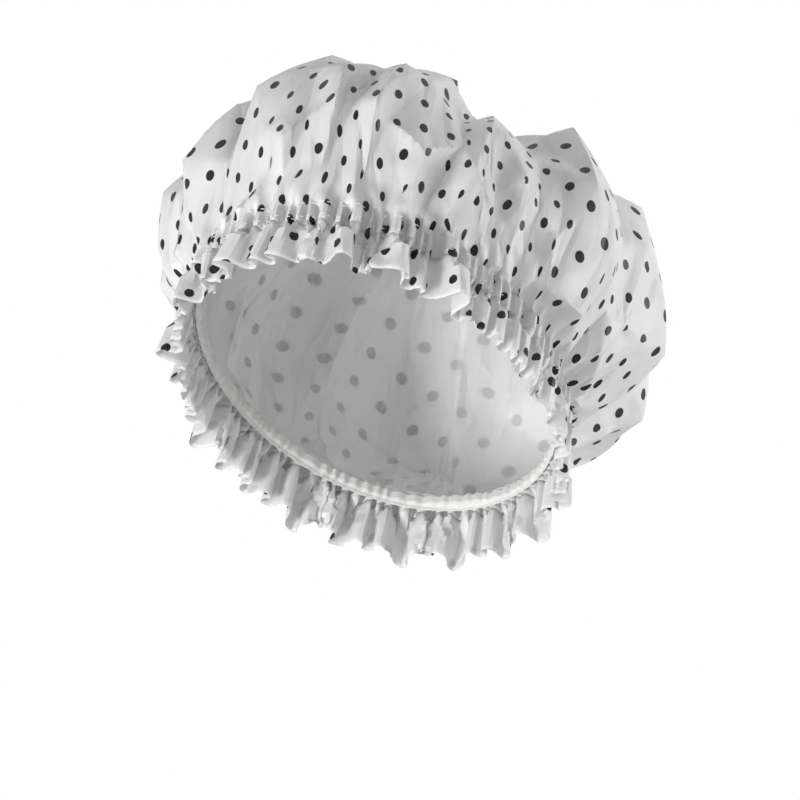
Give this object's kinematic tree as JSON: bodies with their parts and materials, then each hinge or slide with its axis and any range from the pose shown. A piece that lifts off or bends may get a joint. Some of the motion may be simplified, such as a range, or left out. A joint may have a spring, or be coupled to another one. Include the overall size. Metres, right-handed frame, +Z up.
{
  "type": "shower cap",
  "caption": "Bouffant shower cap of thin dotted film, gathered on an elastic sewn in a casing, with a pleated frill round the head opening.",
  "frame": {"origin": "middle of the oval head opening, in the plane of the elastic", "axes": "as worn: +Z up, -Y to the front, +X to the wearer's left; the plane of the elastic rises 33 degrees to the front"},
  "size_m": [0.2244, 0.2787, 0.225],
  "materials": {
    "printed_film": "satin white film, printed outside with small black dots in staggered rows",
    "casing_tape": "plain satin white film tape",
    "braided_elastic": "white flat braid",
    "sewing_thread": "white spun thread"
  },
  "bodies": {
    "root": {"film_crown": "printed_film", "film_frill": "printed_film", "casing_tape": "casing_tape", "elastic_band": "braided_elastic", "elastic_tack": "sewing_thread", "upper_needle_thread": "sewing_thread", "upper_bobbin_thread": "sewing_thread", "lower_needle_thread": "sewing_thread", "lower_bobbin_thread": "sewing_thread"}
  },
  "joints": []
}
